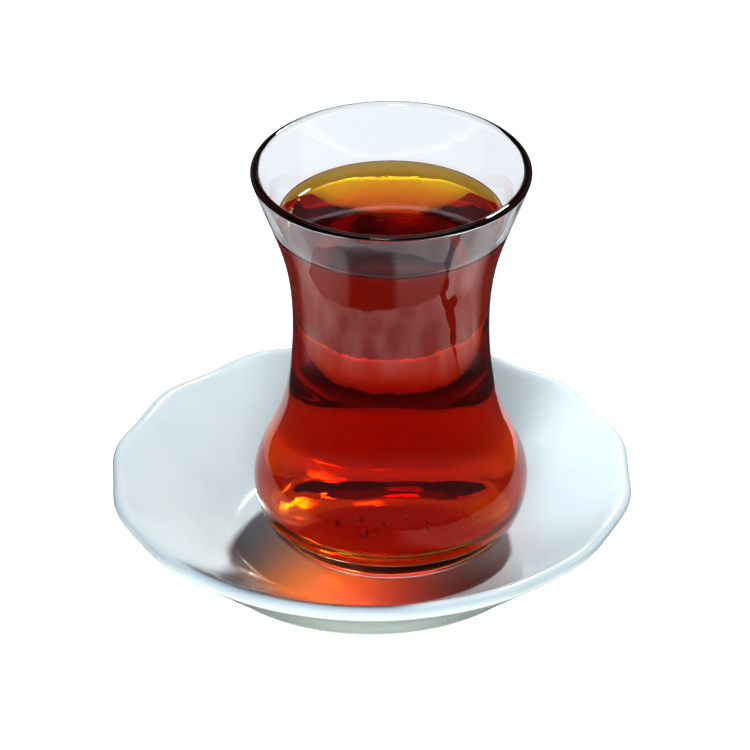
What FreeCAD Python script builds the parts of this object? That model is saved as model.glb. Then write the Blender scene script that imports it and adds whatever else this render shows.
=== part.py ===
import FreeCAD, Part
import math
import os

# A tulip shaped tea glass, filled with tea, on its saucer. Lengths are in millimetres.
# The origin is at the middle of the saucer's foot, where it stands, with +Z up.

# Saucer
FOOT_RADIUS = 33.5
FOOT_RING_WIDTH = 4.5
FOOT_RECESS_DEPTH = 0.9
WELL_RADIUS = 23.0
WELL_HEIGHT = 3.2
LIP_RADIUS = 49.4
LIP_HEIGHT = 15.6
LIP_HALF_THICKNESS = 1.4
INNER_SLOPE = math.radians(32.5)
OUTER_SLOPE = math.radians(40.0)
UNDERSIDE_START = 1.6
FOOT_ROUNDING = 0.3
# Where the section is held along its upper side, down from the lip, and along its underside
INNER_STATIONS = (0.8, 0.55, 0.3, 0.1)
OUTER_STATIONS = (0.15, 0.4, 0.7, 0.95)
LIP_STATIONS = 4

# The rim of the saucer waves gently out and up, once per lobe
LOBES = 14
LOBE_REACH = 0.36
LOBE_LIFT = 0.22
LOBE_ANGLE = math.radians(-10.7)
LOBE_FADE_RADIUS = 35.0
POLES_PER_LOBE = 6

# Glass, which stands on the well a little off the middle of the saucer
GLASS_X = 3.85
GLASS_Y = 0.8
GLASS_HEIGHT = 81.25
BELLY_RADIUS = 26.75
BELLY_HEIGHT = 13.0
HEEL_REACH = 10.1
BASE_RECESS_RADIUS = 13.5
BASE_RECESS_DEPTH = 0.5
RIM_RADIUS = 27.0
RIM_THICKNESS = 1.7
RIM_LEAN = math.radians(18.5)
WAIST_WALL = 1.4
BELLY_WALL = 1.7
CAVITY_FLOOR_HEIGHT = 5.0
CAVITY_FLOOR_RADIUS = 11.0
WALL_STATIONS = 16

# Radius and height of the glass's outside, from the belly up to the rim
SHOULDER = (22.8, 24.4)
LOWER_WAIST = (20.35, 32.5)
WAIST = (19.0, 47.3)
NECK = (20.57, 61.7)
FLARE = (23.5, 70.7)

# Tea, with its edge drawn up the wall
TEA_HEIGHT = 69.2
MENISCUS_RISE = 1.5
MENISCUS_RADIUS = 3.2

AXIS = FreeCAD.Vector(0, 0, 1)
CENTRE = FreeCAD.Vector(0, 0, 0)


def at(radius, height):
    """A point of a section, in the XZ plane."""
    return FreeCAD.Vector(radius, 0, height)


def turned(edges):
    """The solid that a closed section makes when it is turned about the Z axis."""
    face = Part.Face(Part.Wire(edges))
    return face.revolve(CENTRE, AXIS, 360)


def line(start, end):
    return Part.LineSegment(start, end).toShape()


# ---- saucer ----

def lobe_share(radius):
    """How much of the rim's wave is felt at a radius: none in the well, all of it at the lip."""
    reach = (radius - LOBE_FADE_RADIUS) / (LIP_RADIUS - LOBE_FADE_RADIUS)
    return min(max(reach, 0.0), 1.0) ** 2


def saucer_section():
    """Control points of the saucer's section, from the well over the lip to the foot."""
    half = LIP_HALF_THICKNESS
    lip = at(LIP_RADIUS, LIP_HEIGHT)
    down_inside = at(-math.cos(INNER_SLOPE), -math.sin(INNER_SLOPE))
    down_outside = at(-math.cos(OUTER_SLOPE), -math.sin(OUTER_SLOPE))
    inside = lip + at(-math.sin(INNER_SLOPE), math.cos(INNER_SLOPE)) * half
    outside = lip + at(math.sin(OUTER_SLOPE), -math.cos(OUTER_SLOPE)) * half
    inside_length = (inside.z - WELL_HEIGHT) / math.sin(INNER_SLOPE)
    outside_length = (outside.z - UNDERSIDE_START) / math.sin(OUTER_SLOPE)
    knee = inside + down_inside * inside_length

    points = [at(WELL_RADIUS, WELL_HEIGHT), at((WELL_RADIUS + knee.x) / 2, WELL_HEIGHT), knee]
    points += [inside + down_inside * inside_length * share for share in INNER_STATIONS]

    start = math.pi / 2 + INNER_SLOPE
    sweep = math.pi - OUTER_SLOPE + INNER_SLOPE
    bulge = half * 3 / (2 + math.cos(sweep / LIP_STATIONS))
    for step in range(LIP_STATIONS + 1):
        angle = start - sweep * step / LIP_STATIONS
        points.append(lip + at(math.cos(angle), math.sin(angle)) * bulge)

    points += [outside + down_outside * outside_length * share for share in OUTER_STATIONS]
    points += [at(FOOT_RADIUS + FOOT_ROUNDING, UNDERSIDE_START / 2), at(FOOT_RADIUS, 0)]
    return points


def saucer_skin():
    """The surface from the well over the scalloped lip to the foot, closed around the axis."""
    around = LOBES * POLES_PER_LOBE
    # A cubic spline pulls in a wave of its control points, so they are set out further
    round_gain = 3 / (2 + math.cos(2 * math.pi / around))
    wave_gain = 3 / (2 + math.cos(2 * math.pi / POLES_PER_LOBE))
    poles = []
    for point in saucer_section():
        share = lobe_share(point.x)
        ring = []
        for step in range(around):
            angle = 2 * math.pi * step / around
            wave = share * wave_gain * math.cos(LOBES * (angle - LOBE_ANGLE))
            radius = (point.x + LOBE_REACH * wave) * round_gain
            height = point.z + LOBE_LIFT * wave
            ring.append(FreeCAD.Vector(radius * math.cos(angle), radius * math.sin(angle), height))
        poles.append(ring)
    degree = 3
    spans = len(poles) - degree
    skin = Part.BSplineSurface()
    skin.buildFromPolesMultsKnots(
        poles,
        [degree + 1] + [1] * (spans - 1) + [degree + 1],
        [1] * (around + 1),
        [float(knot) for knot in range(spans + 1)],
        [float(knot) for knot in range(around + 1)],
        False,
        True,
        degree,
        degree,
    )
    return skin.toShape()


def make_saucer():
    skin = saucer_skin()
    rings = [edge for edge in skin.Edges if edge.isClosed()]
    caps = [Part.Face(Part.Wire([ring])) for ring in rings]
    shell = Part.Shell([skin] + caps)
    shell.sewShape()
    body = Part.Solid(shell)
    recess = Part.makeCone(FOOT_RADIUS - FOOT_RING_WIDTH, FOOT_RADIUS - FOOT_RING_WIDTH - FOOT_RECESS_DEPTH,
                           FOOT_RECESS_DEPTH)
    return body.cut(recess)


# ---- glass ----

def rim_points():
    """The outer, top and inner points of the rounded rim."""
    half = RIM_THICKNESS / 2
    middle = at(RIM_RADIUS - half, GLASS_HEIGHT - half)
    across = at(math.cos(RIM_LEAN), -math.sin(RIM_LEAN)) * half
    along = at(math.sin(RIM_LEAN), math.cos(RIM_LEAN)) * half
    return middle + across, middle + along, middle - across


def outer_wall():
    """The outside of the glass, from the belly to the rim."""
    points = [at(BELLY_RADIUS, BELLY_HEIGHT)]
    points += [at(*point) for point in (SHOULDER, LOWER_WAIST, WAIST, NECK, FLARE)]
    points.append(rim_points()[0])
    curve = Part.BSplineCurve()
    curve.interpolate(Points=points, InitialTangent=at(0, 1),
                      FinalTangent=at(math.sin(RIM_LEAN), math.cos(RIM_LEAN)))
    return curve


def wall_thickness(height):
    """The wall is thinnest at the waist, and thickens to the belly and to the rim."""
    waist_height = WAIST[1]
    if height < waist_height:
        share = (waist_height - height) / (waist_height - BELLY_HEIGHT)
        return WAIST_WALL + (BELLY_WALL - WAIST_WALL) * share ** 2
    share = (height - waist_height) / (rim_points()[0].z - waist_height)
    return WAIST_WALL + (RIM_THICKNESS - WAIST_WALL) * share ** 2


def inner_wall(outer):
    """The inside of the glass, from the belly to the rim, at the wall's thickness from the outside."""
    points = []
    for station in range(WALL_STATIONS + 1):
        share = station / WALL_STATIONS
        place = outer.FirstParameter + (outer.LastParameter - outer.FirstParameter) * share
        point = outer.value(place)
        along = outer.tangent(place)[0]
        inward = at(-along.z, along.x)
        points.append(point + inward * wall_thickness(point.z))
    curve = Part.BSplineCurve()
    curve.interpolate(Points=points, InitialTangent=at(0, 1),
                      FinalTangent=at(math.sin(RIM_LEAN), math.cos(RIM_LEAN)))
    return curve


def quarter_oval(flat_radius, side_radius, bottom, top):
    """A rounded corner: level at its bottom, upright at its top."""
    across = side_radius - flat_radius
    rise = top - bottom
    centre = at(flat_radius, top)
    if across > rise:
        oval = Part.Ellipse(at(side_radius, top), at(flat_radius, bottom), centre)
        return oval.toShape(-math.pi / 2, 0) if oval.Axis.y < 0 else oval.toShape(0, math.pi / 2)
    oval = Part.Ellipse(at(flat_radius, bottom), at(side_radius, top), centre)
    return oval.toShape(-math.pi / 2, 0) if oval.Axis.y > 0 else oval.toShape(0, math.pi / 2)


def cavity_corner(inner):
    side = inner.value(inner.FirstParameter)
    return quarter_oval(CAVITY_FLOOR_RADIUS, side.x, CAVITY_FLOOR_HEIGHT, side.z)


def make_glass():
    outer = outer_wall()
    inner = inner_wall(outer)
    rim = rim_points()
    heel_radius = BELLY_RADIUS - HEEL_REACH
    recess_middle = at(0, BASE_RECESS_DEPTH)
    recess_edge = at(BASE_RECESS_RADIUS, 0)
    recess_between = at(BASE_RECESS_RADIUS / 2, BASE_RECESS_DEPTH * 3 / 4)
    floor_middle = at(0, CAVITY_FLOOR_HEIGHT)
    section = [
        Part.Arc(recess_middle, recess_between, recess_edge).toShape(),
        line(recess_edge, at(heel_radius, 0)),
        quarter_oval(heel_radius, BELLY_RADIUS, 0, BELLY_HEIGHT),
        outer.toShape(),
        Part.Arc(*rim).toShape(),
        inner.toShape(),
        cavity_corner(inner),
        line(at(CAVITY_FLOOR_RADIUS, CAVITY_FLOOR_HEIGHT), floor_middle),
        line(floor_middle, recess_middle),
    ]
    return on_saucer(turned(section))


# ---- tea ----

def make_tea():
    """The tea fills the glass's cavity, and its surface curves up to meet the wall."""
    inner = inner_wall(outer_wall())
    edge_height = TEA_HEIGHT + MENISCUS_RISE
    cut = inner.intersect(Part.LineSegment(at(0, edge_height), at(RIM_RADIUS, edge_height)))[0]
    edge = at(cut.X, cut.Z)
    wall = inner.toShape(inner.FirstParameter, inner.parameter(edge))
    turn = math.acos(1 - MENISCUS_RISE / MENISCUS_RADIUS)
    level_radius = edge.x - MENISCUS_RADIUS * math.sin(turn)
    bend = at(level_radius + MENISCUS_RADIUS * math.sin(turn / 2),
              TEA_HEIGHT + MENISCUS_RADIUS * (1 - math.cos(turn / 2)))
    level_edge = at(level_radius, TEA_HEIGHT)
    top_middle = at(0, TEA_HEIGHT)
    floor_middle = at(0, CAVITY_FLOOR_HEIGHT)
    section = [
        line(floor_middle, at(CAVITY_FLOOR_RADIUS, CAVITY_FLOOR_HEIGHT)),
        cavity_corner(inner),
        wall,
        Part.Arc(edge, bend, level_edge).toShape(),
        line(level_edge, top_middle),
        line(top_middle, floor_middle),
    ]
    return on_saucer(turned(section))


def on_saucer(shape):
    """Stands a shape of the glass on the saucer's well."""
    return shape.translated(FreeCAD.Vector(GLASS_X, GLASS_Y, WELL_HEIGHT))


os.makedirs("parts", exist_ok=True)
make_saucer().exportStep("parts/saucer.step")
make_glass().exportStep("parts/tea_glass.step")
make_tea().exportStep("parts/tea.step")
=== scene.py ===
import math
import random

import bmesh
import bpy
from bpy.props import FloatProperty, FloatVectorProperty, IntProperty, PointerProperty
from mathutils import Matrix, Vector
from mathutils.geometry import interpolate_bezier


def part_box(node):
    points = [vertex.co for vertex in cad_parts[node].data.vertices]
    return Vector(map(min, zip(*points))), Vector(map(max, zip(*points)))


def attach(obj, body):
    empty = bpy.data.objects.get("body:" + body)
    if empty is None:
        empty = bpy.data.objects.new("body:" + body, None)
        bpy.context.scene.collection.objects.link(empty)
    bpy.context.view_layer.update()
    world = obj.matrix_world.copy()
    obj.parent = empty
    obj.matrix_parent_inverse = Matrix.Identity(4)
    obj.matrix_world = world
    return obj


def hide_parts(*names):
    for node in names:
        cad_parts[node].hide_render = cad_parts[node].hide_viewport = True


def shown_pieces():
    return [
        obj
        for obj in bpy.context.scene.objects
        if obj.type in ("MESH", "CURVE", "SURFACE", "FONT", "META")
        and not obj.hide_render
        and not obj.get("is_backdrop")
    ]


bl_info = {
    "name": "Tea Glass and Saucer",
    "version": (1, 0, 0),
    "blender": (4, 5, 0),
    "location": "3D View > Sidebar > Tea",
    "description": "Builds a glass of tea on its saucer, with its materials and stage",
    "category": "Add Mesh",
}

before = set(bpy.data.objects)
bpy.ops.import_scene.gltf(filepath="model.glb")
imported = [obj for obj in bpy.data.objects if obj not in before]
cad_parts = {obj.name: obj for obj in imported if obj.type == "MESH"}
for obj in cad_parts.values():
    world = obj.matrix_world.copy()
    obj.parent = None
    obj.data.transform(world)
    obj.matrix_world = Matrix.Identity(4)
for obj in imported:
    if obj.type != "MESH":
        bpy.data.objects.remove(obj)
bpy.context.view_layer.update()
glass_low, glass_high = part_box("tea_glass")
tea_low, tea_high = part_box("tea")

MM = 0.001
SAME_PLACE = 1e-6   # metres, closer than which two points are one
GLASS_AXIS = Vector(((glass_low.x + glass_high.x) / 2, (glass_low.y + glass_high.y) / 2, glass_low.z))


# ---------------------------------------------------------------- settings

def length(name, description, default):
    """A setting in metres."""
    return FloatProperty(name=name, description=description, default=default, min=0.0,
                         unit="LENGTH", subtype="DISTANCE", precision=5)


def angle(name, description, degrees):
    """A setting given in degrees."""
    return FloatProperty(name=name, description=description, default=math.radians(degrees),
                         unit="ROTATION", subtype="ANGLE")


def colour(name, description, default):
    """A setting that is a colour."""
    return FloatVectorProperty(name=name, description=description, default=default,
                               subtype="COLOR", size=3, min=0.0, max=1.0)


class SaucerSettings(bpy.types.PropertyGroup):
    """Sizes and colours of the saucer"""

    well_height: length("Well height", "Height of the flat well that the glass stands on", glass_low.z)
    foot_radius: length("Foot radius", "Outer radius of the foot ring", 33.5 * MM)
    foot_width: length("Foot width", "Width of the unglazed foot ring", 4.5 * MM)
    foot_recess: length("Foot recess", "Depth of the hollow inside the foot ring", 0.9 * MM)
    foot_height: length("Foot height", "Height at which the outer slope runs into the foot", 1.6 * MM)
    foot_round: length("Foot rounding", "Rounding of the foot ring's edges", 0.3 * MM)
    well_radius: length("Well radius", "Radius of the flat well", 23.0 * MM)
    lip_radius: length("Lip radius", "Radius of the middle of the rounded lip", 49.4 * MM)
    lip_height: length("Lip height", "Height of the middle of the rounded lip", 15.6 * MM)
    lip_half: length("Lip half thickness", "Half the thickness of the rounded lip", 1.4 * MM)
    inner_slope: angle("Inner slope", "Slope of the upper side", 32.5)
    outer_slope: angle("Outer slope", "Slope of the underside", 40.0)
    lobes: IntProperty(name="Lobes", description="Number of waves around the rim", default=14, min=3)
    lobe_reach: length("Lobe reach", "How far each wave pushes the rim outwards", 0.36 * MM)
    lobe_lift: length("Lobe lift", "How far each wave lifts the rim", 0.22 * MM)
    lobe_start: length("Lobe start", "Radius at which the waves begin", 35.0 * MM)
    lobe_turn: angle("Lobe turn", "Direction of the first wave's crest", -10.7)
    glaze: colour("Glaze", "Colour of the glazed porcelain", (0.62, 0.7, 0.745))
    pooled: colour("Pooled glaze", "Colour of the glaze where it lies thicker", (0.57, 0.67, 0.725))
    # painted shade: the underside colour is darker and greener than the glaze, standing in for the shade that
    # falls under the saucer
    shaded_underside: colour("Underside", "Colour of the glazed underside", (0.54, 0.6, 0.55))
    clay: colour("Clay", "Colour of the bare porcelain under the foot", (0.56, 0.5, 0.42))


class GlassSettings(bpy.types.PropertyGroup):
    """Sizes and tint of the tulip glass"""

    height: length("Height", "Height of the glass", glass_high.z - glass_low.z)
    belly_radius: length("Belly radius", "Outer radius at the belly", 26.75 * MM)
    belly_height: length("Belly height", "Height of the widest part of the belly", 13.0 * MM)
    heel_reach: length("Heel reach", "How far the round heel comes in below the belly", 10.1 * MM)
    waist_radius: length("Waist radius", "Outer radius at the waist", 19.0 * MM)
    waist_height: length("Waist height", "Height of the waist", 47.3 * MM)
    rim_radius: length("Rim radius", "Outer radius of the rim", (glass_high.x - glass_low.x) / 2)
    rim_thickness: length("Rim thickness", "Thickness of the rounded rim", 1.7 * MM)
    rim_lean: angle("Rim lean", "How far the wall leans outwards at the rim", 18.5)
    waist_wall: length("Wall at the waist", "Thickness of the wall at the waist", 1.4 * MM)
    belly_wall: length("Wall at the belly", "Thickness of the wall at the belly", 1.7 * MM)
    floor_height: length("Floor height", "Thickness of the glass's base", tea_low.z - glass_low.z)
    floor_radius: length("Floor radius", "Radius of the flat part of the inside floor", 11.0 * MM)
    hollow_radius: length("Hollow radius", "Radius of the shallow hollow under the base", 13.5 * MM)
    hollow_depth: length("Hollow depth", "Depth of the shallow hollow under the base", 0.5 * MM)
    foot_gap: length("Foot gap", "Gap that keeps the base off the saucer's glaze", 0.05 * MM)
    tint: colour("Tint", "Tint of the clear glass", (0.985, 0.995, 0.992))


class TeaSettings(bpy.types.PropertyGroup):
    """Level and colour of the tea"""

    edge_height: length("Edge height", "Height at which the tea meets the wall", tea_high.z - glass_low.z)
    edge_rise: length("Edge rise", "How far the edge is drawn up the wall", 1.5 * MM)
    edge_bend: length("Edge bend", "Radius of the curved edge", 3.2 * MM)
    wall_overlap: length("Wall overlap", "How far the tea reaches into the glass", 0.15 * MM)
    bubbles: IntProperty(name="Bubbles", description="Number of small air bubbles", default=26, min=0)
    bubble_small: length("Smallest bubble", "Radius of the smallest air bubble", 0.16 * MM)
    bubble_large: length("Largest bubble", "Radius of the largest air bubble", 0.42 * MM)
    crumbs: IntProperty(name="Crumbs", description="Number of crumbs of leaf in the glass", default=18, min=0)
    crumb_small: length("Smallest crumb", "Half the width of the smallest crumb", 0.08 * MM)
    crumb_large: length("Largest crumb", "Half the width of the largest crumb", 0.17 * MM)
    leaf: colour("Leaf", "Colour of the leaf crumbs", (0.11, 0.04, 0.015))
    depth: FloatProperty(name="Depth of colour", description="How fast the tea darkens with depth, per metre",
                         default=1000.0, min=0.0)
    colour: colour("Colour", "Colour that the tea lets through", (0.982, 0.9, 0.0))
    shallow: colour("Shallow tint", "Tint of the tea's skin", (1.0, 0.87, 0.46))
    cloudy: colour("Cloudy tint", "Tint of the tea's skin where it is cloudier", (1.0, 0.82, 0.36))
    # painted glow: the tea's own emission stands in for light scattered in the tea
    painted_glow: colour("Glow", "Colour of the light scattered in the tea", (1.0, 0.07, 0.05))
    painted_glow_cloudy: colour("Cloudy glow", "Colour of that light where the tea is cloudier", (1.0, 0.14, 0.06))
    painted_glow_strength: FloatProperty(name="Glow strength", default=0.012, min=0.0,
                                 description="Strength of the light scattered in the tea")


class StageSettings(bpy.types.PropertyGroup):
    """Camera, floor and lights"""

    distance: length("Distance", "Distance of the camera", 1.5)
    elevation: angle("Elevation", "Height of the camera above the horizon", 31.03)
    aim_height: length("Aim height", "Height that the camera looks at", 38.26 * MM)
    lens: FloatProperty(name="Lens", description="Focal length of the camera in millimetres", default=370.9)
    offset: length("Offset", "How far to the left of the glass the camera looks", 3.105 * MM)
    floor: colour("Floor", "Colour of the floor", (0.86, 0.86, 0.86))
    floor_radius: length("Floor radius", "Radius of the round floor", 6.0)
    floor_glow: FloatProperty(name="Floor glow", description="Strength of the floor's own light",
                              default=0.62, min=0.0)


def settings(context):
    """The settings of the saucer, the glass, the drink and the stage."""
    scene = context.scene
    return scene.tea_saucer, scene.tea_glass, scene.tea_drink, scene.tea_stage


# ---------------------------------------------------------------- shapes

# Radius and height, in millimetres, of the outer wall's points between the belly, the waist and the rim.
BELOW_WAIST = ((22.8, 24.4), (20.35, 32.5))
ABOVE_WAIST = ((20.57, 61.7), (23.5, 70.7))
FOOT_EDGE = 0.1 * MM      # from the foot ring's outside to its flat underside
RECESS_INSET = 0.8 * MM   # from the foot ring's inside to the level hollow
EDGE_ROOM = 0.3 * MM      # between the tea's edge and the wall's next point below it
WALL_STEPS = 7
CORNER_STEPS = 14
EDGE_STEPS = 8
LIP_STEPS = 4
RIM_STEPS = 8
TURN_STEPS = 96
FAIRING_ROUNDS = 60


def faired(points, first, last, steps):
    """Points along one smooth curve through the given points, from one direction to another."""
    chords = [(b - a).length for a, b in zip(points, points[1:])]
    slopes = [(b - a).normalized() for a, b in zip(points, points[1:])] + [last]
    slopes[0] = first
    for _ in range(FAIRING_ROUNDS):
        for i in range(1, len(points) - 1):
            before, after = chords[i - 1], chords[i]
            come, go = points[i] - points[i - 1], points[i + 1] - points[i]
            pull = 3 * (after / before * come + before / after * go)
            slopes[i] = (pull - after * slopes[i - 1] - before * slopes[i + 1]) / (2 * (before + after))
    curve = []
    for i, chord in enumerate(chords):
        start, end = points[i], points[i + 1]
        leave, arrive = start + slopes[i] * chord / 3, end - slopes[i + 1] * chord / 3
        span = interpolate_bezier(start, leave, arrive, end, steps + 1)
        curve += [Vector((p.x, p.y)) for p in span[:-1]]
    curve.append(points[-1])
    return curve


def quarter(flat, side, bottom, top, steps):
    """Points of a rounded corner, level at its bottom and upright at its top."""
    turns = [math.pi / 2 * step / steps for step in range(steps + 1)]
    reach, rise = side - flat, top - bottom
    return [Vector((flat + reach * math.sin(t), top - rise * math.cos(t))) for t in turns]


def arc(centre, radius, start, end, steps):
    """Points on an arc, from one direction to another."""
    turns = [start + (end - start) * step / steps for step in range(steps + 1)]
    return [centre + Vector((math.cos(t), math.sin(t))) * radius for t in turns]


def level(start, end, height, steps):
    """Points on a level line, from one radius to another."""
    return [Vector((start + (end - start) * step / steps, height)) for step in range(steps + 1)]


def joined(*runs):
    """One outline from several, without the points that they share."""
    outline = list(runs[0])
    for run in runs[1:]:
        outline += [p for p in run if (p - outline[-1]).length > SAME_PLACE]
    return outline


def smoothing_gain(step):
    """How much points set a step apart on a circle are moved out, so that smoothing leaves it its radius."""
    return 3 / (2 + math.cos(step))


def spun(outline, steps):
    """A mesh made by turning an outline of (radius, height) points about the Z axis."""
    mesh = bmesh.new()
    chain = [mesh.verts.new((point.x, 0, point.y)) for point in outline]
    edges = [mesh.edges.new(pair) for pair in zip(chain, chain[1:])]
    bmesh.ops.spin(mesh, geom=chain + edges, cent=(0, 0, 0), axis=(0, 0, 1), angle=2 * math.pi,
                   steps=steps, use_merge=True)
    bmesh.ops.remove_doubles(mesh, verts=mesh.verts, dist=SAME_PLACE)
    bmesh.ops.recalc_face_normals(mesh, faces=mesh.faces)
    return mesh


def finished(mesh, name, material, slot, smoothing, *nodes):
    """Turns a bmesh into a piece that stands for its CAD nodes."""
    for face in mesh.faces:
        face.smooth = True
    data = bpy.data.meshes.new(name)
    mesh.to_mesh(data)
    mesh.free()
    piece = bpy.data.objects.new(name, data)
    bpy.context.scene.collection.objects.link(piece)
    data.materials.append(material)
    if smoothing:
        soft = piece.modifiers.new("Smooth", "SUBSURF")
        soft.levels = smoothing
        soft.render_levels = smoothing
    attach(piece, "root")
    if nodes:
        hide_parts(*nodes)
    return piece


def saucer_outline(s):
    """The saucer's section, from the middle of the well round the lip to the middle of the underside."""
    lip = Vector((s.lip_radius, s.lip_height))
    down_inside = Vector((-math.cos(s.inner_slope), -math.sin(s.inner_slope)))
    down_outside = Vector((-math.cos(s.outer_slope), -math.sin(s.outer_slope)))
    inside = lip + Vector((-math.sin(s.inner_slope), math.cos(s.inner_slope))) * s.lip_half
    outside = lip + Vector((math.sin(s.outer_slope), -math.cos(s.outer_slope))) * s.lip_half
    inside_length = (inside.y - s.well_height) / math.sin(s.inner_slope)
    outside_length = (outside.y - s.foot_height) / math.sin(s.outer_slope)
    knee = inside + down_inside * inside_length
    sweep = math.pi - s.outer_slope + s.inner_slope
    bulge = s.lip_half * smoothing_gain(sweep / LIP_STEPS)
    turn = math.pi / 2 + s.inner_slope
    ring = s.foot_radius - s.foot_width
    return joined(
        level(0, s.well_radius, s.well_height, 4),
        level(s.well_radius, knee.x, s.well_height, 2),
        [inside + down_inside * inside_length * share for share in (0.8, 0.55, 0.3, 0.1)],
        arc(lip, bulge, turn, turn - sweep, LIP_STEPS),
        [outside + down_outside * outside_length * share for share in (0.15, 0.4, 0.7, 0.95)],
        [Vector((s.foot_radius + s.foot_round, s.foot_height / 2))],
        level(s.foot_radius - FOOT_EDGE, ring + s.foot_round, 0, 3),
        [Vector((ring, s.foot_recess / 2))],
        level(ring - RECESS_INSET, 0, s.foot_recess, 4),
    )


def scalloped(mesh, s, steps):
    """Waves the rim of a spun saucer, and makes up for what the smoothing takes off its size."""
    round_gain = smoothing_gain(2 * math.pi / steps)
    wave_gain = smoothing_gain(2 * math.pi * s.lobes / steps)
    for vert in mesh.verts:
        radius = math.hypot(vert.co.x, vert.co.y)
        if radius < SAME_PLACE:
            continue
        turn = math.atan2(vert.co.y, vert.co.x)
        share = min(max((radius - s.lobe_start) / (s.lip_radius - s.lobe_start), 0), 1) ** 2
        wave = share * wave_gain * math.cos(s.lobes * (turn - s.lobe_turn))
        grown = (radius + s.lobe_reach * wave) * round_gain / radius
        vert.co = Vector((vert.co.x * grown, vert.co.y * grown, vert.co.z + s.lobe_lift * wave))


def outer_wall(g):
    """The outside of the glass from the belly to the rim, and the middle of the rounded rim."""
    middle = Vector((g.rim_radius - g.rim_thickness / 2, g.height - g.rim_thickness / 2))
    across = Vector((math.cos(g.rim_lean), -math.sin(g.rim_lean))) * g.rim_thickness / 2
    along = Vector((math.sin(g.rim_lean), math.cos(g.rim_lean)))
    through = [
        Vector((g.belly_radius, g.belly_height)),
        *(Vector(station) * MM for station in BELOW_WAIST),
        Vector((g.waist_radius, g.waist_height)),
        *(Vector(station) * MM for station in ABOVE_WAIST),
        middle + across,
    ]
    return faired(through, Vector((0, 1)), along, WALL_STEPS), middle


def wall_thickness(g, height):
    """The wall is thinnest at the waist, and thickens to the belly and to the rim."""
    if height < g.waist_height:
        share = (g.waist_height - height) / (g.waist_height - g.belly_height)
        return g.waist_wall + (g.belly_wall - g.waist_wall) * share ** 2
    share = (height - g.waist_height) / (g.height - g.waist_height)
    return g.waist_wall + (g.rim_thickness - g.waist_wall) * share ** 2


def inner_wall(g, outer, into_wall):
    """The inside of the glass from the belly to the rim, moved into the wall by a little."""
    inner = []
    for i, point in enumerate(outer):
        along = (outer[min(i + 1, len(outer) - 1)] - outer[max(i - 1, 0)]).normalized()
        if i == 0:
            along = Vector((0, 1))
        inward = Vector((-along.y, along.x))
        inner.append(point + inward * (wall_thickness(g, point.y) - into_wall))
    return inner


def glass_outline(g):
    """The glass's section, from the hollow under its base up the outside and down the inside."""
    outer, middle = outer_wall(g)
    inner = inner_wall(g, outer, 0)
    heel = g.belly_radius - g.heel_reach
    hollow = [Vector((g.hollow_radius * share, g.hollow_depth * (1 - share ** 2) + g.foot_gap))
              for share in (0, 0.3, 0.6, 0.85, 1)]
    bulge = g.rim_thickness / 2 * smoothing_gain(math.pi / RIM_STEPS)
    return joined(
        hollow,
        level(g.hollow_radius, heel, g.foot_gap, 3),
        quarter(heel, g.belly_radius, g.foot_gap, g.belly_height, CORNER_STEPS),
        outer,
        arc(middle, bulge, -g.rim_lean, math.pi - g.rim_lean, RIM_STEPS),
        inner[::-1],
        quarter(g.floor_radius, inner[0].x, g.floor_height, inner[0].y, CORNER_STEPS)[::-1],
        level(g.floor_radius, 0, g.floor_height, 4),
    )


def tea_outline(g, t):
    """The tea's section, from the middle of its floor up the wall, and over its edge to the middle."""
    outer, _ = outer_wall(g)
    inner = inner_wall(g, outer, t.wall_overlap)
    bottom = g.floor_height - t.wall_overlap
    below = [p for p in inner if p.y < t.edge_height - EDGE_ROOM]
    above = inner[len(below)]
    share = (t.edge_height - below[-1].y) / (above.y - below[-1].y)
    edge = below[-1].lerp(above, share)
    turn = math.acos(1 - t.edge_rise / t.edge_bend)
    flat = edge.x - t.edge_bend * math.sin(turn)
    surface = t.edge_height - t.edge_rise
    centre = Vector((flat, surface + t.edge_bend))
    return joined(
        level(0, g.floor_radius, bottom, 4),
        quarter(g.floor_radius, below[0].x, bottom, below[0].y, CORNER_STEPS),
        below,
        [edge],
        arc(centre, t.edge_bend, -math.pi / 2 + turn, -math.pi / 2, EDGE_STEPS),
        level(flat, 0, surface, EDGE_STEPS),
    )


# ---------------------------------------------------------------- materials

GLASS_IOR = 1.51
TEA_IOR = 1.333
GLAZE_IOR = 1.5
FINE_RIPPLES = 900.0      # per metre
PINHOLE_CELLS = 210.0     # per metre
GLAZE_CLOUDS = 38.0       # per metre
BLACK = (0, 0, 0, 1)


def feed(tree, socket, value):
    """Gives a shader input a value, a colour, or a socket to take it from."""
    if isinstance(value, bpy.types.NodeSocket):
        tree.links.new(value, socket)
    elif socket.type == "RGBA":
        socket.default_value = (*value[:3], 1)
    else:
        socket.default_value = value


def add(tree, kind, options=None, **inputs):
    """A shader node, with its options set, and its inputs given as values or as sockets to link from."""
    made = tree.nodes.new(kind)
    for key, value in (options or {}).items():
        setattr(made, key, value)
    for key, value in inputs.items():
        feed(tree, made.inputs[key.replace("_", " ")], value)
    return made


def maths(tree, operation, *values):
    """The result of a sum on values or sockets."""
    made = add(tree, "ShaderNodeMath", {"operation": operation})
    for socket, value in zip(made.inputs, values):
        feed(tree, socket, value)
    return made.outputs["Value"]


def ranged(tree, value, between, onto=(0.0, 1.0), kind="LINEAR"):
    """A value carried from one range onto another, and held at its ends."""
    made = add(tree, "ShaderNodeMapRange", {"interpolation_type": kind}, Value=value,
               From_Min=between[0], From_Max=between[1], To_Min=onto[0], To_Max=onto[1])
    return made.outputs["Result"]


def blend(tree, factor, first, second):
    """A mix of two colours, each a value or a socket."""
    mix = add(tree, "ShaderNodeMix", {"data_type": "RGBA"}, Factor=factor, A=first, B=second)
    return next(socket for socket in mix.outputs if socket.type == "RGBA")


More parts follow.
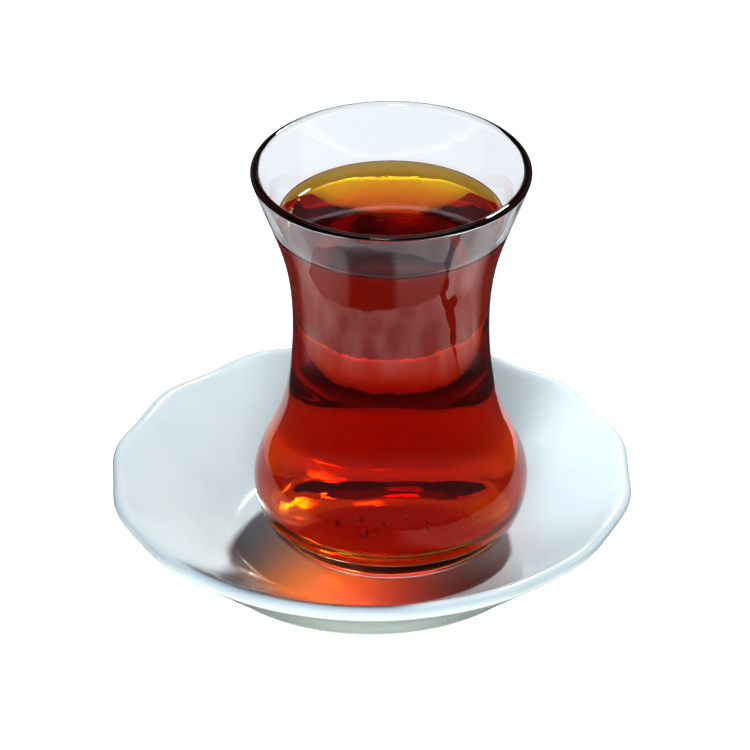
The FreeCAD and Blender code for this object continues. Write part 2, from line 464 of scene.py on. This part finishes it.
def group(name, inputs, outputs):
    """A new node group with float inputs and their defaults, and float outputs, as the tree and its ends."""
    tree = bpy.data.node_groups.new(name, "ShaderNodeTree")
    for socket, default in inputs.items():
        made = tree.interface.new_socket(name=socket, in_out="INPUT", socket_type="NodeSocketFloat")
        made.default_value = default
    for socket in outputs:
        tree.interface.new_socket(name=socket, in_out="OUTPUT", socket_type="NodeSocketFloat")
    return tree, tree.nodes.new("NodeGroupInput").outputs, tree.nodes.new("NodeGroupOutput").inputs


def placed_group(tree, maker, **inputs):
    """Places a shared effect in a material, made on its first use."""
    name = maker.__name__
    made = tree.nodes.new("ShaderNodeGroup")
    made.node_tree = bpy.data.node_groups.get(name) or maker(name)
    for key, value in inputs.items():
        made.inputs[key.replace("_", " ")].default_value = value
    return made.outputs


def soft_ripple(name):
    """The slow unevenness of a blown, poured or glazed surface."""
    tree, given, shown = group(name, {"Wave Size": 0.02, "Stretch": 1.0, "Fine Share": 0.2}, ["Height"])
    place = add(tree, "ShaderNodeTexCoord").outputs["Object"]
    often = maths(tree, "DIVIDE", 1.0, given["Wave Size"])
    tall = add(tree, "ShaderNodeCombineXYZ", X=1.0, Y=1.0, Z=given["Stretch"])
    stretched = add(tree, "ShaderNodeVectorMath", {"operation": "MULTIPLY"})
    tree.links.new(place, stretched.inputs[0])
    tree.links.new(tall.outputs["Vector"], stretched.inputs[1])
    spot = stretched.outputs["Vector"]
    slow = add(tree, "ShaderNodeTexNoise", Vector=spot, Scale=often, Detail=2.0, Roughness=0.4)
    quick = add(tree, "ShaderNodeTexNoise", Vector=spot, Scale=FINE_RIPPLES, Detail=1.0)
    both = add(tree, "ShaderNodeMix", Factor=given["Fine Share"], A=slow.outputs["Fac"],
               B=quick.outputs["Fac"])
    tree.links.new(both.outputs["Result"], shown["Height"])
    return tree


def handling(name):
    """Faint smears left by fingers and cloth."""
    tree, given, shown = group(name, {"Patch Size": 0.025, "Amount": 0.3}, ["Smear"])
    place = add(tree, "ShaderNodeTexCoord").outputs["Object"]
    often = maths(tree, "DIVIDE", 1.0, given["Patch Size"])
    patches = add(tree, "ShaderNodeTexNoise", Vector=place, Scale=often, Detail=5.0, Roughness=0.65,
                  Distortion=0.6)
    smear = ranged(tree, patches.outputs["Fac"], (0.52, 0.72), (0.0, given["Amount"]))
    tree.links.new(smear, shown["Smear"])
    return tree


def blank_material(name, **inputs):
    """A new material, its node tree, and its shader with the given inputs."""
    material = bpy.data.materials.new(name)
    material.use_nodes = True
    tree = material.node_tree
    shader = tree.nodes["Principled BSDF"]
    for key, value in inputs.items():
        feed(tree, shader.inputs[key.replace("_", " ")], value)
    return material, tree, shader


def bumped(tree, shader, height, strength, distance):
    """Feeds a height to a shader's normal."""
    bump = add(tree, "ShaderNodeBump", Strength=strength, Distance=distance, Height=height)
    tree.links.new(bump.outputs["Normal"], shader.inputs["Normal"])


def clear_glass_material(g):
    """Blown glass, a little uneven, with smears from handling."""
    material, tree, shader = blank_material("clear_glass", Base_Color=g.tint, Roughness=0.0, IOR=GLASS_IOR,
                                            Transmission_Weight=1.0, Coat_Roughness=0.3)
    smears = placed_group(tree, handling, Patch_Size=0.018, Amount=0.12)
    tree.links.new(smears["Smear"], shader.inputs["Coat Weight"])
    ripple = placed_group(tree, soft_ripple, Wave_Size=0.011, Stretch=0.45, Fine_Share=0.0)
    bumped(tree, shader, ripple["Height"], strength=0.5, distance=0.5 * MM)
    return material


def wetted_glass_material(g):
    """The inside of the glass where tea lies against it, which hardly reflects."""
    material, tree, shader = blank_material("wetted_glass", Base_Color=g.tint, Roughness=0.0, IOR=GLASS_IOR,
                                            Transmission_Weight=1.0, Specular_Tint=BLACK)
    ripple = placed_group(tree, soft_ripple, Wave_Size=0.016, Stretch=0.5, Fine_Share=0.0)
    bumped(tree, shader, ripple["Height"], strength=0.5, distance=0.6 * MM)
    return material


def tea_material(t):
    """Clear strong tea, which darkens with depth, with a faint painted glow standing in for the light
    scattered in it.
    """
    material, tree, shader = blank_material("tea", Roughness=0.0, IOR=TEA_IOR, Specular_Tint=BLACK,
                                            Transmission_Weight=1.0, Emission_Strength=t.painted_glow_strength,
                                            Coat_IOR=TEA_IOR, Coat_Roughness=0.0)
    along = add(tree, "ShaderNodeSeparateXYZ", Vector=add(tree, "ShaderNodeTexCoord").outputs["Object"])
    top = GLASS_AXIS.z + t.edge_height - t.edge_rise
    coated = ranged(tree, along.outputs["Z"], (top - 0.3 * MM, top - 0.1 * MM))
    tree.links.new(coated, shader.inputs["Coat Weight"])
    ripple = placed_group(tree, soft_ripple, Wave_Size=0.014, Stretch=1.0, Fine_Share=0.05)
    bumped(tree, shader, ripple["Height"], strength=0.4, distance=0.6 * MM)
    tree.links.new(blend(tree, ripple["Height"], t.shallow, t.cloudy), shader.inputs["Base Color"])
    # painted glow: the emission colour, varied with the ripple
    tree.links.new(blend(tree, ripple["Height"], t.painted_glow, t.painted_glow_cloudy), shader.inputs["Emission Color"])
    absorb = add(tree, "ShaderNodeVolumeAbsorption", Color=t.colour, Density=t.depth)
    tree.links.new(absorb.outputs["Volume"], tree.nodes["Material Output"].inputs["Volume"])
    return material


def pinholes(tree, place):
    """A mask of rare pinholes in the glaze."""
    cells = add(tree, "ShaderNodeTexVoronoi", Vector=place, Scale=PINHOLE_CELLS, Randomness=1.0)
    dot = ranged(tree, cells.outputs["Distance"], (0.035, 0.06), (1.0, 0.0))
    chance = add(tree, "ShaderNodeSeparateColor", Color=cells.outputs["Color"])
    return maths(tree, "MULTIPLY", dot, ranged(tree, chance.outputs["Red"], (0.93, 0.95)))


def porcelain_material(s):
    """Glazed porcelain: pooled glaze, pinholes, a bare, slightly rough foot ring, and painted shade on the
    underside.
    """
    material, tree, shader = blank_material("porcelain", IOR=GLAZE_IOR)
    place = add(tree, "ShaderNodeTexCoord").outputs["Object"]
    clouds = add(tree, "ShaderNodeTexNoise", Vector=place, Scale=GLAZE_CLOUDS, Detail=4.0, Roughness=0.55)
    body = blend(tree, ranged(tree, clouds.outputs["Fac"], (0.4, 0.65)), s.glaze, s.pooled)
    under = add(tree, "ShaderNodeAttribute", {"attribute_name": "under"})
    # painted shade: faces marked as the underside take the darker underside colour
    body = blend(tree, under.outputs["Fac"], body, s.shaded_underside)
    body = blend(tree, pinholes(tree, place), body, tuple(part * 0.6 for part in s.clay))
    along = add(tree, "ShaderNodeSeparateXYZ", Vector=place)
    bare = ranged(tree, along.outputs["Z"], (0.1 * MM, 0.35 * MM), (1.0, 0.0))
    tree.links.new(blend(tree, bare, body, s.clay), shader.inputs["Base Color"])

    smears = placed_group(tree, handling, Patch_Size=0.03, Amount=1.0)
    glazed = ranged(tree, smears["Smear"], (0.0, 1.0), (0.09, 0.2))
    rough = add(tree, "ShaderNodeMix", Factor=bare, A=glazed, B=0.75)
    tree.links.new(rough.outputs["Result"], shader.inputs["Roughness"])
    ripple = placed_group(tree, soft_ripple, Wave_Size=0.02, Stretch=1.0, Fine_Share=0.12)
    bumped(tree, shader, ripple["Height"], strength=0.22, distance=1.0 * MM)
    return material


def bubble_material():
    """A small air bubble, whose bright warm-white skin is a painted highlight."""
    material, tree, shader = blank_material("bubble", Roughness=0.06, Transmission_Weight=0.5)
    ripple = placed_group(tree, soft_ripple, Wave_Size=0.0015, Stretch=1.0, Fine_Share=0.3)
    # painted highlight: a warm-white colour stands in for the light that the bubble reflects
    skin = blend(tree, ripple["Height"], (1.0, 0.78, 0.42), (1.0, 0.93, 0.8))
    tree.links.new(skin, shader.inputs["Base Color"])
    return material


def leaf_material(t):
    """Soaked tea leaf."""
    material, tree, shader = blank_material("leaf", Roughness=0.5)
    ripple = placed_group(tree, soft_ripple, Wave_Size=0.0008, Stretch=1.0, Fine_Share=0.4)
    shade = blend(tree, ripple["Height"], t.leaf, tuple(part * 3 for part in t.leaf))
    tree.links.new(shade, shader.inputs["Base Color"])
    bumped(tree, shader, ripple["Height"], strength=0.6, distance=0.2 * MM)
    return material


# ---------------------------------------------------------------- operators

STEPS_PER_LOBE = 6
UNDER_FACING = -0.1   # an upward share of the normal, below which a point is on the saucer's underside
FLOOR_FACING = 0.5    # the same, above which a face of the glass is its inside floor
BASE_SHARE = 0.8      # share of the base's thickness that lies below every wetted face
BUBBLE_SEED = 7
CRUMB_SEED = 11

# Where the bubbles and crumbs lie, as turns about the glass's axis in degrees and as millimetres from it.
EDGE_BUBBLES_TURN = (168, 14)
FLOOR_BUBBLES_TURN = (200, 330)
FLOOR_BUBBLES_REACH = (2, 10)
CRUMBS_ACROSS = (9.5, 2.5)
CRUMBS_ALONG = (-4, 4)


class TEA_OT_saucer(bpy.types.Operator):
    """Build the scalloped saucer"""

    bl_idname = "tea.saucer"
    bl_label = "Saucer"

    def execute(self, context):
        saucer = settings(context)[0]
        steps = saucer.lobes * STEPS_PER_LOBE
        mesh = spun(saucer_outline(saucer), steps)
        scalloped(mesh, saucer, steps)
        mesh.normal_update()
        # marks the underside faces, which get the painted underside shade
        under = mesh.verts.layers.float.new("under")
        for vert in mesh.verts:
            vert[under] = 1.0 if vert.normal.z < UNDER_FACING else 0.0
        finished(mesh, "saucer_dish", porcelain_material(saucer), "porcelain", 2, "saucer")
        return {"FINISHED"}


class TEA_OT_glass(bpy.types.Operator):
    """Build the tulip glass"""

    bl_idname = "tea.glass"
    bl_label = "Glass"

    def execute(self, context):
        glass, drink = settings(context)[1:3]
        mesh = spun(glass_outline(glass), TURN_STEPS)
        for face in mesh.faces:
            middle = face.calc_center_median()
            inward = face.normal.x * middle.x + face.normal.y * middle.y < 0
            inside = inward or face.normal.z > FLOOR_FACING
            if inside and glass.floor_height * BASE_SHARE < middle.z < drink.edge_height:
                face.material_index = 1
        bmesh.ops.translate(mesh, verts=mesh.verts, vec=GLASS_AXIS)
        piece = finished(mesh, "tulip_glass", clear_glass_material(glass), "clear_glass", 1, "tea_glass")
        piece.data.materials.append(wetted_glass_material(glass))
        return {"FINISHED"}


class TEA_OT_drink(bpy.types.Operator):
    """Fill the glass with tea"""

    bl_idname = "tea.drink"
    bl_label = "Tea"

    def execute(self, context):
        glass, drink = settings(context)[1:3]
        mesh = spun(tea_outline(glass, drink), TURN_STEPS)
        bmesh.ops.translate(mesh, verts=mesh.verts, vec=GLASS_AXIS)
        finished(mesh, "tea_fill", tea_material(drink), "tea", 1, "tea")
        return {"FINISHED"}


class TEA_OT_bubbles(bpy.types.Operator):
    """Scatter small air bubbles round the tea's edge and on the floor of the glass"""

    bl_idname = "tea.bubbles"
    bl_label = "Bubbles"

    def execute(self, context):
        glass, drink = settings(context)[1:3]
        chance = random.Random(BUBBLE_SEED)
        surface = drink.edge_height - drink.edge_rise
        edge = tea_outline(glass, drink)[-EDGE_STEPS - 2].x
        mesh = bmesh.new()
        for number in range(drink.bubbles):
            size = chance.uniform(drink.bubble_small, drink.bubble_large)
            if number % 2:
                turn = math.radians(chance.gauss(*EDGE_BUBBLES_TURN))
                place = Vector((edge * math.cos(turn), edge * math.sin(turn), surface + size * 0.3))
            else:
                turn = math.radians(chance.uniform(*FLOOR_BUBBLES_TURN))
                reach = chance.uniform(*FLOOR_BUBBLES_REACH) * MM
                height = glass.floor_height + size * 0.9
                place = Vector((reach * math.cos(turn), reach * math.sin(turn), height))
            bmesh.ops.create_icosphere(mesh, subdivisions=2, radius=size,
                                       matrix=Matrix.Translation(GLASS_AXIS + place))
        finished(mesh, "air_bubbles", bubble_material(), "tea", 0)
        return {"FINISHED"}


class TEA_OT_crumbs(bpy.types.Operator):
    """Scatter crumbs of leaf over the floor of the glass"""

    bl_idname = "tea.crumbs"
    bl_label = "Leaf crumbs"

    def execute(self, context):
        glass, drink = settings(context)[1:3]
        chance = random.Random(CRUMB_SEED)
        mesh = bmesh.new()
        for _ in range(drink.crumbs):
            size = chance.uniform(drink.crumb_small, drink.crumb_large)
            across, along = chance.gauss(*CRUMBS_ACROSS), chance.gauss(*CRUMBS_ALONG)
            place = Vector((across * MM, along * MM, glass.floor_height + size * 0.7))
            turn = Matrix.Rotation(chance.uniform(0, math.pi), 4, "Z")
            shape = Matrix.Diagonal((chance.uniform(1.2, 3.0), 1.0, 0.5, 1.0))
            bmesh.ops.create_icosphere(mesh, subdivisions=1, radius=size,
                                       matrix=Matrix.Translation(GLASS_AXIS + place) @ turn @ shape)
        finished(mesh, "leaf_crumbs", leaf_material(drink), "tea", 0)
        return {"FINISHED"}


# Angles in degrees, distances and sizes in metres, power in watts.
SOFT_LAMPS = {
    "key": {"azimuth": 68, "elevation": 46, "distance": 1.3, "size": 0.14, "power": 16.0,
            "tint": (1.0, 0.97, 0.92)},
    "front": {"azimuth": 262, "elevation": 46, "distance": 1.6, "size": 0.5, "power": 3.5,
              "tint": (0.97, 0.99, 1.0)},
    "side": {"azimuth": 152, "elevation": 19, "distance": 1.6, "size": 0.8, "power": 3,
             "tint": (0.93, 0.97, 1.0)},
    "low_front": {"azimuth": 265, "elevation": 12, "distance": 1.6, "size": 0.8, "power": 17,
                  "tint": (0.95, 0.98, 1.0)},
}
LAMP_AIM = Vector((0, 0, 0.03))
HIDDEN_LAMPS = ("side", "low_front")

# The same, with the width of the beam in degrees and the point it is aimed at in millimetres.
SPOT_LAMPS = {
    "through_tea": {"azimuth": 66, "elevation": 46, "power": 70, "spread": 0.6, "aim": (-12, -19, 5),
                    "tint": (1.0, 0.33, 0.0)},
    "through_deep_tea": {"azimuth": 66, "elevation": 46, "power": 90, "spread": 1.35, "aim": (-3, -24, 6),
                         "tint": (1.0, 0.07, 0.0)},
    "behind_glass": {"azimuth": 90, "elevation": 62, "power": 60, "spread": 1.3, "aim": (4, 38, 10),
                     "tint": (1.0, 0.95, 0.86)},
    "right_side": {"azimuth": 150, "elevation": 38, "power": 30, "spread": 2.8, "aim": (48, 4, 12),
                   "tint": (0.96, 0.98, 1.0)},
}
SPOT_DISTANCE = 1.3
SPOT_SOFTNESS = 0.01

# Share of the floor's light that is left for rays through clear glass, and of that for rays through tea.
CLEAR_SHARE = 0.53
TEA_SHARE = 0.44
TEA_BACKGROUND = (0.5, 0.42, 0.4)

# Colours of the background from straight down, at 0, to straight up, at 1, with the horizon at 0.5.
SKY_BANDS = (
    (0.0, (0.1, 0.1, 0.12)),
    (0.46, (0.1, 0.1, 0.12)),
    (0.5, (0.35, 0.38, 0.42)),
    (0.6, (0.45, 0.48, 0.54)),
    (0.68, (0.3, 0.32, 0.36)),
    (0.73, (0.06, 0.06, 0.07)),
    (0.79, (0.06, 0.06, 0.07)),
    (0.85, (0.1, 0.11, 0.13)),
    (1.0, (0.13, 0.14, 0.16)),
)
SKY_GAIN = (0.55, 3.0)           # before and after the first surface of glass

# The cards that only reflections see, by the parts of a ray's direction and its turn in radians.
GROUND_CARD = 1.3                # brightness of the pale ground
GROUND_EDGE = (-0.56, -0.44)     # upward part, from full to none
GROUND_END = (0.3, 0.6)          # backward part, from full to none
GROUND_PATCHES = (0.55, 1.15)    # darkest and lightest patch
GAP_TURN = 0.33
GAP_HALF_WIDTH = 0.08
GAP_WAVE = 0.9
OVERHEAD_CARD = 0.9              # brightness of the panel overhead
OVERHEAD_EDGE = (0.78, 0.9)      # upward part, from none to full


class TEA_OT_stage(bpy.types.Operator):
    """Set the floor, the lights and the camera"""

    bl_idname = "tea.stage"
    bl_label = "Stage"

    def execute(self, context):
        stage = settings(context)[3]
        scene = context.scene
        scene.view_settings.view_transform = "Standard"
        scene.view_settings.look = "High Contrast"
        for name in ("Cube", "Light", "Camera"):
            if name in bpy.data.objects:
                bpy.data.objects.remove(bpy.data.objects[name])
        floor = self.make_floor(stage)
        self.make_world(scene)
        lamps = {name: self.make_lamp(name, **lamp) for name, lamp in SOFT_LAMPS.items()}
        for name in HIDDEN_LAMPS:
            lamps[name].visible_glossy = False
            lamps[name].visible_transmission = False
        saucer = bpy.data.objects["saucer_dish"]
        pieces = list(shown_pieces())
        others = [piece for piece in pieces if piece != saucer]
        lamps["key"].light_linking.receiver_collection = self.gathered("lit_by_key", pieces)
        lamps["front"].light_linking.receiver_collection = self.gathered("lit_by_front", others + [floor])
        alone = self.gathered("saucer_only", [saucer])
        for name, spot in SPOT_LAMPS.items():
            lamp = self.make_spot(name, **spot)
            lamp.light_linking.receiver_collection = alone
            lamp.light_linking.blocker_collection = alone
        self.make_camera(scene, stage)
        return {"FINISHED"}

    def gathered(self, name, things):
        """A collection that says what a lamp lights."""
        collection = bpy.data.collections.new(name)
        for thing in things:
            collection.objects.link(thing)
        return collection

    def make_floor(self, stage):
        """A pale floor that glows a little, darker where it is seen through glass and through tea."""
        mesh = bmesh.new()
        bmesh.ops.create_circle(mesh, cap_ends=True, segments=64, radius=stage.floor_radius)
        data = bpy.data.meshes.new("floor")
        mesh.to_mesh(data)
        mesh.free()
        floor = bpy.data.objects.new("floor", data)
        bpy.context.scene.collection.objects.link(floor)
        material, tree, shader = blank_material("floor", Roughness=0.6, Emission_Color=(1, 1, 1))
        depth = add(tree, "ShaderNodeLightPath").outputs["Transmission Depth"]
        clear = ranged(tree, depth, (0.0, 1.0), (1.0, CLEAR_SHARE))
        kept = maths(tree, "MULTIPLY", clear, ranged(tree, depth, (2.0, 3.0), (1.0, TEA_SHARE)))
        tree.links.new(blend(tree, kept, (0, 0, 0), stage.floor), shader.inputs["Base Color"])
        tree.links.new(maths(tree, "MULTIPLY", kept, stage.floor_glow), shader.inputs["Emission Strength"])
        data.materials.append(material)
        floor.visible_glossy = False
        floor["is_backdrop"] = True
        return floor

    def make_world(self, scene):
        """A background in bands, brighter through glass, plain through tea, with cards for reflections."""
        world = bpy.data.worlds.new("studio")
        scene.world = world
        world.use_nodes = True
        tree = world.node_tree
        direction = add(tree, "ShaderNodeTexCoord").outputs["Generated"]
        along = add(tree, "ShaderNodeSeparateXYZ", Vector=direction).outputs
        path = add(tree, "ShaderNodeLightPath").outputs
        sky = add(tree, "ShaderNodeValToRGB", Fac=ranged(tree, along["Z"], (-1.0, 1.0)))
        ramp = sky.color_ramp
        ramp.elements.remove(ramp.elements[0])
        ramp.elements[0].position = SKY_BANDS[0][0]
        ramp.elements[0].color = (*SKY_BANDS[0][1], 1)
        for position, shade in SKY_BANDS[1:]:
            ramp.elements.new(position).color = (*shade, 1)
        lifted = add(tree, "ShaderNodeVectorMath", {"operation": "SCALE"},
                     Scale=ranged(tree, path["Transmission Depth"], (0.0, 1.0), SKY_GAIN))
        tree.links.new(sky.outputs["Color"], lifted.inputs[0])
        cards = maths(tree, "MULTIPLY", self.make_cards(tree, direction, along), path["Is Glossy Ray"])
        bright = add(tree, "ShaderNodeMix", {"data_type": "RGBA", "blend_type": "ADD"}, Factor=1.0,
                     A=lifted.outputs["Vector"], B=cards)
        through_tea = ranged(tree, path["Transmission Depth"], (2.0, 3.0))
        background = tree.nodes["Background"].inputs
        seen = blend(tree, through_tea, bright.outputs["Result"], TEA_BACKGROUND)
        tree.links.new(seen, background["Color"])
        background["Strength"].default_value = 1.0

    def make_cards(self, tree, direction, along):
        """A pale, uneven ground in front with a dark gap, and a panel overhead."""
        uneven = add(tree, "ShaderNodeTexNoise", Vector=direction, Scale=4.0, Detail=3.0).outputs["Fac"]
        low = ranged(tree, along["Z"], GROUND_EDGE, (GROUND_CARD, 0.0), "SMOOTHSTEP")
        near = ranged(tree, along["Y"], GROUND_END, (1.0, 0.0), "SMOOTHSTEP")
        patches = ranged(tree, uneven, (0.35, 0.65), GROUND_PATCHES)
        turn = maths(tree, "ARCTAN2", along["Y"], along["X"])
        waved = maths(tree, "MULTIPLY_ADD", uneven, GAP_WAVE, turn)
        gap = maths(tree, "COMPARE", waved, GAP_TURN, GAP_HALF_WIDTH)
        ground = maths(tree, "MULTIPLY", low, patches)
        ground = maths(tree, "MULTIPLY", ground, maths(tree, "SUBTRACT", 1.0, gap))
        ground = maths(tree, "MULTIPLY", ground, near)
        high = ranged(tree, along["Z"], OVERHEAD_EDGE, (0.0, OVERHEAD_CARD), "SMOOTHSTEP")
        return maths(tree, "ADD", ground, high)

    def make_lamp(self, name, azimuth, elevation, distance, size, power, tint):
        """A round soft lamp."""
        data = bpy.data.lights.new(name, "AREA")
        data.shape = "DISK"
        data.size = size
        data.energy = power
        data.color = tint
        return self.placed(name, data, azimuth, elevation, distance, LAMP_AIM)

    def make_spot(self, name, azimuth, elevation, power, spread, aim, tint):
        """A narrow lamp that fades towards the edge of its beam."""
        data = bpy.data.lights.new(name, "SPOT")
        data.spot_size = math.radians(spread)
        data.spot_blend = 1.0
        data.shadow_soft_size = SPOT_SOFTNESS
        data.energy = power
        data.color = tint
        return self.placed(name, data, azimuth, elevation, SPOT_DISTANCE, Vector(aim) * MM)

    def placed(self, name, data, azimuth, elevation, distance, aim):
        """A lamp at a distance from the point it is aimed at, in a given direction."""
        lamp = bpy.data.objects.new(name, data)
        bpy.context.scene.collection.objects.link(lamp)
        a, e = math.radians(azimuth), math.radians(elevation)
        toward = Vector((math.cos(a) * math.cos(e), math.sin(a) * math.cos(e), math.sin(e)))
        turn = toward.to_track_quat("Z", "Y").to_matrix().to_4x4()
        lamp.matrix_world = Matrix.Translation(aim + toward * distance) @ turn
        return lamp

    def make_camera(self, scene, stage):
        """A camera in front that looks down at the glass from far off."""
        data = bpy.data.cameras.new("camera")
        data.lens = stage.lens
        data.sensor_width = 36
        data.clip_start = 0.05
        data.clip_end = 30
        camera = bpy.data.objects.new("camera", data)
        bpy.context.scene.collection.objects.link(camera)
        back = Vector((0, -math.cos(stage.elevation), math.sin(stage.elevation)))
        aim = Vector((GLASS_AXIS.x - stage.offset, GLASS_AXIS.y, stage.aim_height))
        turn = back.to_track_quat("Z", "Y").to_matrix().to_4x4()
        camera.matrix_world = Matrix.Translation(aim + back * stage.distance) @ turn
        scene.camera = camera


class TEA_PT_panel(bpy.types.Panel):
    """Lists the steps that build the glass of tea"""

    bl_idname = "TEA_PT_panel"
    bl_label = "Tea Glass and Saucer"
    bl_space_type = "VIEW_3D"
    bl_region_type = "UI"
    bl_category = "Tea"

    def draw(self, context):
        for step in STEPS:
            self.layout.operator(step.bl_idname, text=step.bl_label)


STEPS = (TEA_OT_saucer, TEA_OT_glass, TEA_OT_drink, TEA_OT_bubbles, TEA_OT_crumbs, TEA_OT_stage)
GROUPS = {
    "tea_saucer": SaucerSettings,
    "tea_glass": GlassSettings,
    "tea_drink": TeaSettings,
    "tea_stage": StageSettings,
}


def register():
    for name, cls in GROUPS.items():
        bpy.utils.register_class(cls)
        setattr(bpy.types.Scene, name, PointerProperty(type=cls))
    for cls in (*STEPS, TEA_PT_panel):
        bpy.utils.register_class(cls)


def unregister():
    for cls in (TEA_PT_panel, *reversed(STEPS)):
        bpy.utils.unregister_class(cls)
    for name, cls in GROUPS.items():
        delattr(bpy.types.Scene, name)
        bpy.utils.unregister_class(cls)


def main():
    register()
    bpy.ops.tea.saucer()
    bpy.ops.tea.glass()
    bpy.ops.tea.drink()
    bpy.ops.tea.bubbles()
    bpy.ops.tea.crumbs()
    bpy.ops.tea.stage()


if __name__ == "__main__":
    main()
